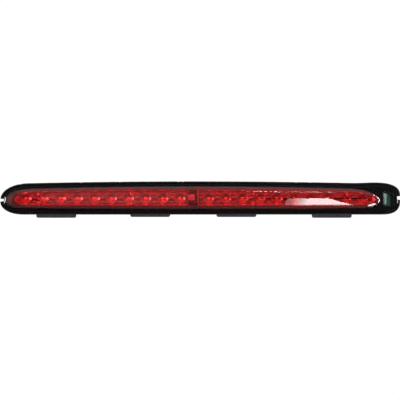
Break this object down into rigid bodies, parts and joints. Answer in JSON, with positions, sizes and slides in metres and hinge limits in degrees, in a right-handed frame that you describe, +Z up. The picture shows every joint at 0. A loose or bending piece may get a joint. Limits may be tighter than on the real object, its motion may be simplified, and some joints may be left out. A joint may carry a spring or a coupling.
{
  "type": "third brake light",
  "caption": "Long slim boot-lid brake light: crowned red lens on a black tray, LED reflector banks, clear window over the connector end, fixed hooks below, sprung clips above.",
  "frame": {"origin": "middle of the lens length, on the rear face of the flange, which the edge rubber holds 2.6 mm off the body panel", "axes": "+X along the lamp to the connector end, +Y back into the car body, +Z up; the lens faces -Y"},
  "size_m": [0.4299, 0.0465, 0.0393],
  "materials": {
    "black_plastic": "gloss black moulding",
    "red_lens": "clear red moulded acrylic, polished",
    "clear_window": "clear moulded acrylic",
    "seal_rubber": "matt black sealing rubber",
    "bezel_black": "satin black",
    "reflector_metal": "vacuum-metallised",
    "led_epoxy": "clear epoxy, red tinted",
    "board_green": "solder mask",
    "screw_steel": "zinc-plated",
    "spring_steel": "bright spring steel",
    "tinned_pin": "tinned",
    "nylon": "moulded nylon",
    "epoxy_black": "moulded epoxy",
    "capacitor_can": "bright can",
    "ribbon_amber": "polyimide film",
    "vent_cap": "matt moulding"
  },
  "bodies": {
    "lamp": {"board_link": "ribbon_amber", "breather_vent": "vent_cap", "capacitor": "capacitor_can", "circuit_board_left": "board_green", "circuit_board_right": "board_green", "contact_pin_1": "tinned_pin", "contact_pin_2": "tinned_pin", "diode": "epoxy_black", "driver_chip": "epoxy_black", "end_window": "clear_window", "gasket_lower": "seal_rubber", "gasket_upper": "seal_rubber", "housing": "black_plastic", "inner_bezel": "bezel_black", "led_01": "led_epoxy", "led_02": "led_epoxy", "led_03": "led_epoxy", "led_04": "led_epoxy", "led_05": "led_epoxy", "led_06": "led_epoxy", "led_07": "led_epoxy", "led_08": "led_epoxy", "led_09": "led_epoxy", "led_10": "led_epoxy", "led_11": "led_epoxy", "led_12": "led_epoxy", "led_13": "led_epoxy", "led_14": "led_epoxy", "led_15": "led_epoxy", "led_16": "led_epoxy", "led_17": "led_epoxy", "led_18": "led_epoxy", "led_19": "led_epoxy", "led_20": "led_epoxy", "lens_seal": "seal_rubber", "outer_lens": "red_lens", "pin_carrier": "nylon", "reflector_left": "reflector_metal", "reflector_right": "reflector_metal", "resistor_1": "epoxy_black", "resistor_2": "epoxy_black", "resistor_3": "epoxy_black", "screw_1": "screw_steel", "screw_2": "screw_steel", "screw_3": "screw_steel", "screw_4": "screw_steel", "screw_5": "screw_steel", "screw_6": "screw_steel", "screw_7": "screw_steel", "screw_8": "screw_steel"},
    "clip_1": {"retaining_clip_1": "spring_steel"},
    "clip_2": {"retaining_clip_2": "spring_steel"},
    "clip_3": {"retaining_clip_3": "spring_steel"},
    "clip_4": {"retaining_clip_4": "spring_steel"}
  },
  "joints": [
    {"name": "clip_1_press", "type": "hinge", "parent": "lamp", "child": "clip_1", "pos_m": [-0.1486, 0.015, 0.01542], "axis": [1, 0, 0], "range_deg": [0, 7], "stiffness_Nm_per_rad": 0.6},
    {"name": "clip_2_press", "type": "hinge", "parent": "lamp", "child": "clip_2", "pos_m": [-0.0475, 0.015, 0.01666], "axis": [1, 0, 0], "range_deg": [0, 7], "stiffness_Nm_per_rad": 0.6},
    {"name": "clip_3_press", "type": "hinge", "parent": "lamp", "child": "clip_3", "pos_m": [0.0454, 0.015, 0.01667], "axis": [1, 0, 0], "range_deg": [0, 7], "stiffness_Nm_per_rad": 0.6},
    {"name": "clip_4_press", "type": "hinge", "parent": "lamp", "child": "clip_4", "pos_m": [0.1481, 0.015, 0.01543], "axis": [1, 0, 0], "range_deg": [0, 7], "stiffness_Nm_per_rad": 0.6}
  ]
}
